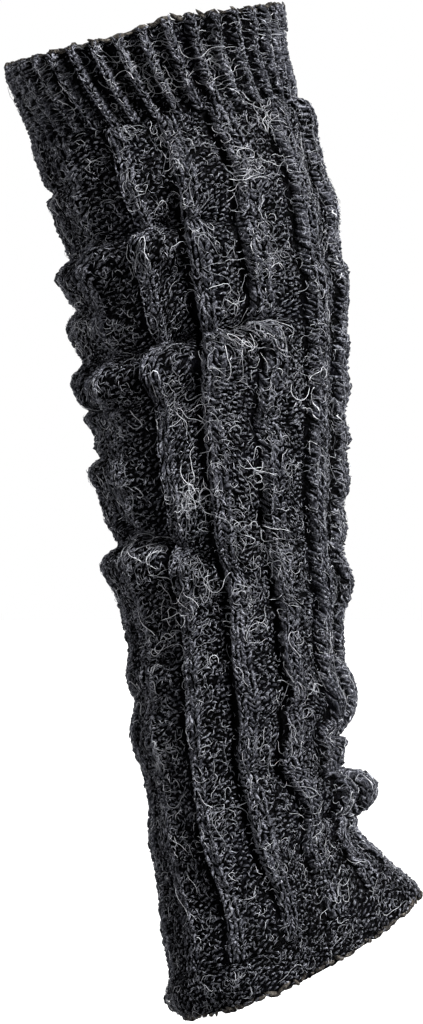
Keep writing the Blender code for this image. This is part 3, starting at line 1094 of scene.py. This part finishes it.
LONG_CURLS = curls("long_curl", length=12.0, thick=0.18, rings=9, bend=0.34, seed=100)
SHORT_CURLS = curls("short_curl", length=6.0, thick=0.145, rings=4, bend=0.50, seed=200)
FUZZ = curls("fuzz", length=2.4, thick=0.22, rings=1, bend=0.60, seed=300)

ALONG_RIBS = 0.38
TILTED = (-0.05, 0.05)
SIZED = (0.75, 1.25)


def hair_tree():
    """Grows a hair on each corner of the base, each turned its own way, but more along the ribs."""
    tree, given = geometry_tree("hairs", {"Kinds": "Collection", "Wool": "Material", "Seed": "Int"})
    seed = given["Seed"]
    heading = drawn(0.0, ROUND, seed + 6)
    turn = {
        "X": drawn(*TILTED, seed + 4),
        "Y": drawn(*TILTED, seed + 5),
        "Z": heading + calculated("SINE", heading * 2) * ALONG_RIBS,
    }
    kinds = {"Collection": given["Kinds"], "Separate Children": True}
    points = add_node(tree, "GeometryNodeMeshToPoints", values={"Mesh": given["Geometry"]})
    placed = {
        "Points": points,
        "Instance": add_node(tree, "GeometryNodeCollectionInfo", values=kinds),
        "Pick Instance": True,
        "Instance Index": calculated("FLOOR", drawn(0.0, float(HAIR_SHAPES), seed + 7)),
        "Rotation": add_node(tree, "ShaderNodeCombineXYZ", values=turn),
        "Scale": drawn(*SIZED, seed + 8),
    }
    grown_hairs = add_node(tree, "GeometryNodeInstanceOnPoints", values=placed)
    kept = {"data_type": "FLOAT", "domain": "INSTANCE"}
    tone = {"Geometry": grown_hairs, "Name": "tone", "Value": drawn(0.0, 1.0, seed + 9)}
    toned = add_node(tree, "GeometryNodeStoreNamedAttribute", kept, tone)
    finish_tree(tree, toned, given["Wool"])
    return tree


HAIRS = hair_tree()
FEW_PALE = 1.8


def hair_wool(name, dark, light):
    """Single wool fibres, each of its own grey, few of them pale."""
    material, shader = new_material(name, rough=0.6, shine=0.3)
    tree = material.node_tree
    tone = add_node(tree, "ShaderNodeAttribute", {"attribute_name": "tone"}, output="Fac")
    tree.links.new(mixed(tone**FEW_PALE, dark, light).socket, shader.inputs["Base Color"])
    return material


curl_wool = hair_wool("curl_wool", (0.12, 0.125, 0.14, 1), (0.68, 0.69, 0.73, 1))
fuzz_wool = hair_wool("fuzz_wool", (0.05, 0.051, 0.06, 1), (0.41, 0.42, 0.47, 1))

# Tufts where much hair has worked out: rib, course, hairs of each kind, and how far they spread.
LEG_TUFTS = (
    (2.9, 43, 14, 3), (3.4, 47, 8, 3), (4.6, 57, 12, 4), (4.4, 73, 22, 3), (2.8, 66.5, 10, 4),
    (5.4, 82.5, 10, 4), (4.4, 87, 12, 4), (1.9, 52, 6, 4), (3.3, 81, 8, 4), (4.5, 0.5, 8, 3),
    (2.7, 12, 14, 3.5), (3.7, 17.5, 5, 4), (2.7, 29.5, 12, 4), (4, 3.5, 8, 3), (2, 2.5, 16, 4),
    (5.8, 35, 6, 4), (1.6, 10, 8, 4), (3.4, 35, 8, 4), (5.3, 94.5, 8, 4), (2.7, 108.5, 8, 4),
    (9.5, 40, 14, 4), (12.2, 75, 14, 4), (8.4, 110, 12, 4),
)
CUFF_TUFTS = (
    (6.4, 10.5, 14, 3), (9.1, 8.5, 6, 2.5), (10, 8, 8, 2.5), (9.1, 13, 6, 3), (14, 9.5, 5, 3),
    (6.8, 6, 6, 3), (25, 9, 12, 4),
)
# How far a clump spreads, in millimetres, and how many places are tried for each hair. How likely
# a place takes root goes by its height in the relief, and it is less likely in a crease.
CLUMP_SPREAD = 5.0
TRIES = 3
LOW_AND_HIGH = (5, 90)
ROOTS_LOW = 0.12
ROOTS_BETWEEN = 0.36
NAP_BETWEEN = 0.70
ROOTS_CREASED = ((-0.004, 0, 0.001), (0.15, 0.75, 1.0))


def rooted(stretch, width, count, clump, lift, tufts, draw):
    """Flat places for hairs, in millimetres: in clumps, thicker on the ribs, thin in the creases.

    Hairs without tufts, such as the nap, fill more of the hollows.
    """
    tries = TRIES * count
    size = np.array((stretch.ribs * width, stretch.courses * COURSE))
    middles = draw.uniform(0, 1, (tries // clump + 1, 2)) * size
    places = np.repeat(middles, clump, 0)[:tries] + draw.normal(0, CLUMP_SPREAD, (tries, 2))
    x, share = places[:, 0] / width, places[:, 1] / size[1]
    heights = stretch.relief(x, share)
    low, high = np.percentile(heights, LOW_AND_HIGH)
    between = ROOTS_BETWEEN if tufts else NAP_BETWEEN
    chance = np.interp(heights, (low, (low + high) / 2, high), (ROOTS_LOW, between, 1.0))
    column = (places[:, 0] / size[0] * len(WALL_TURNS)).astype(int) % len(WALL_TURNS)
    row = np.clip(share * (stretch.ROWS - 1), 0, stretch.ROWS - 1).astype(int)
    chance *= np.interp(stretch.creased[row, column], *ROOTS_CREASED)
    places = places[draw.uniform(0, 1, tries) < chance][:count]
    for rib, course, hairs_here, spread in tufts:
        middle = np.array((rib * width, course * COURSE))
        places = np.concatenate((places, middle + draw.normal(0, spread, (hairs_here, 2))))
    return np.column_stack((places, draw.uniform(0, lift, len(places))))


OFF_THE_EDGE = 0.1
BRIDGED = 0.25


def bridged_relief(x, share):
    """The leg's relief with its grooves partly filled."""
    return np.maximum(leg_relief(x, share), BRIDGED * RIB_RISE)


def hairs(name, slot, stretch, width, kinds, material, tufts, count, lift, clump, seed):
    """Lays hairs of one kind over a stretch."""
    base = bpy.data.meshes.new(name + "_base")
    draw = np.random.default_rng(seed)
    base.from_pydata(rooted(stretch, width, count, clump, lift, tufts, draw).tolist(), [], [])
    piece = grown(name, HAIRS, base, {"Kinds": kinds, "Wool": material, "Seed": seed})
    x, y, z = placed_mesh(piece).T
    y = np.clip(y / COURSE, OFF_THE_EDGE, stretch.courses - OFF_THE_EDGE)
    flat = np.stack((x / width, y, z / 1000), 1)
    put(piece, stretch.wrap(flat, bridged_relief if stretch is leg else None))
    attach(piece, "root")
    return piece


def all_hairs(part, stretch, width, tufts, long_curls, short_curls, fuzz):
    """Lays each kind of hair: how many, how high they root, how many to a clump, and a seed."""
    on = (part + "_wool", stretch, width)
    return [
        hairs(part + "_long_curls", *on, LONG_CURLS, curl_wool, tufts, *long_curls),
        hairs(part + "_short_curls", *on, SHORT_CURLS, curl_wool, tufts, *short_curls),
        hairs(part + "_fuzz", *on, FUZZ, fuzz_wool, (), *fuzz),
    ]


leg_hairs = all_hairs(
    "leg", leg, LEG_RIB, LEG_TUFTS, (780, 1.3, 3, 41), (4300, 1.0, 7, 46), (30000, 0.8, 4, 43)
)
cuff_hairs = all_hairs(
    "cuff", cuff, CUFF_RIB, CUFF_TUFTS, (130, 1.2, 3, 51), (700, 1.0, 6, 52), (5000, 0.8, 4, 53)
)
hem_hairs = all_hairs(
    "hem", hem, LEG_RIB, (), (40, 1.0, 3, 61), (200, 0.8, 8, 62), (1800, 0.8, 4, 63)
)

# --- Floor, light and camera ---
# A wide pale floor that meets a pale horizon, one soft light from the upper right, a weak one to
# fill the left, and one behind.

FLOOR_REACH = 60.0
FLOOR_LEVEL = -0.56
CORNERS = ((-1, -1), (1, -1), (1, 1), (-1, 1))

floor = plain_mesh(
    "floor", [(x * FLOOR_REACH, y * FLOOR_REACH, FLOOR_LEVEL) for x, y in CORNERS], [(0, 1, 2, 3)]
)
paper, paper_shader = new_material("pale_paper", rough=0.9, shine=0.5)
paper_shader.inputs["Base Color"].default_value = (0.86, 0.86, 0.86, 1)
floor.data.materials.append(paper)
floor.visible_diffuse = False

MIDDLE = Vector((0.027, 0, -0.19))


def aimed_light(name, kind, place, power):
    """A light that shines from a place to the middle of the leg warmer."""
    data = bpy.data.lights.new(name, kind)
    data.energy = power
    light = bpy.data.objects.new(name, data)
    light.location = place
    light.rotation_euler = (MIDDLE - light.location).to_track_quat("-Z", "Y").to_euler()
    bpy.context.scene.collection.objects.link(light)
    return data


aimed_light("key_light", "SUN", (1.35, -1.35, 1.4), 10.1).angle = math.radians(18)
aimed_light("fill_light", "AREA", (-2.3, -1.5, 0.5), 42).size = 1.6
aimed_light("back_light", "AREA", (-0.5, 3.0, 0.8), 60).size = 2.0

# The glow of the studio is full at the horizon and fades upwards and downwards.
FADES_UP = (0.10, 0.30, 1.0, 0.03)
FADES_DOWN = (-0.40, -0.10, 0.25, 1.0)

world = bpy.data.worlds.new("studio")
world.use_nodes = True
studio = world.node_tree
ray = add_node(studio, "ShaderNodeTexCoord", output="Generated")
height = add_node(studio, "ShaderNodeSeparateXYZ", values={"Vector": ray}, output=2)
glow = height.ramp(*FADES_UP) * height.ramp(*FADES_DOWN)
studio.links.new(glow.socket, studio.nodes["Background"].inputs["Strength"])
studio.nodes["Background"].inputs["Color"].default_value = (1, 1, 1, 1)
bpy.context.scene.world = world
bpy.context.scene.view_settings.view_transform = "Standard"

IMAGE_WIDE, IMAGE_HIGH = 423, 1024
PIXEL = 0.00044
CAMERA_AWAY = 9.0
ORIGIN_PIXEL = (150, 76)

camera = bpy.data.cameras.new("camera")
camera.sensor_fit = "VERTICAL"
camera.sensor_height = 24
camera.lens = camera.sensor_height * CAMERA_AWAY / (IMAGE_HIGH * PIXEL)
viewer = bpy.data.objects.new("camera", camera)
viewer.location = (
    (IMAGE_WIDE / 2 - ORIGIN_PIXEL[0]) * PIXEL,
    -CAMERA_AWAY,
    (ORIGIN_PIXEL[1] - IMAGE_HIGH / 2) * PIXEL,
)
viewer.rotation_euler = (math.pi / 2, 0, 0)
bpy.context.scene.collection.objects.link(viewer)
bpy.context.scene.camera = viewer
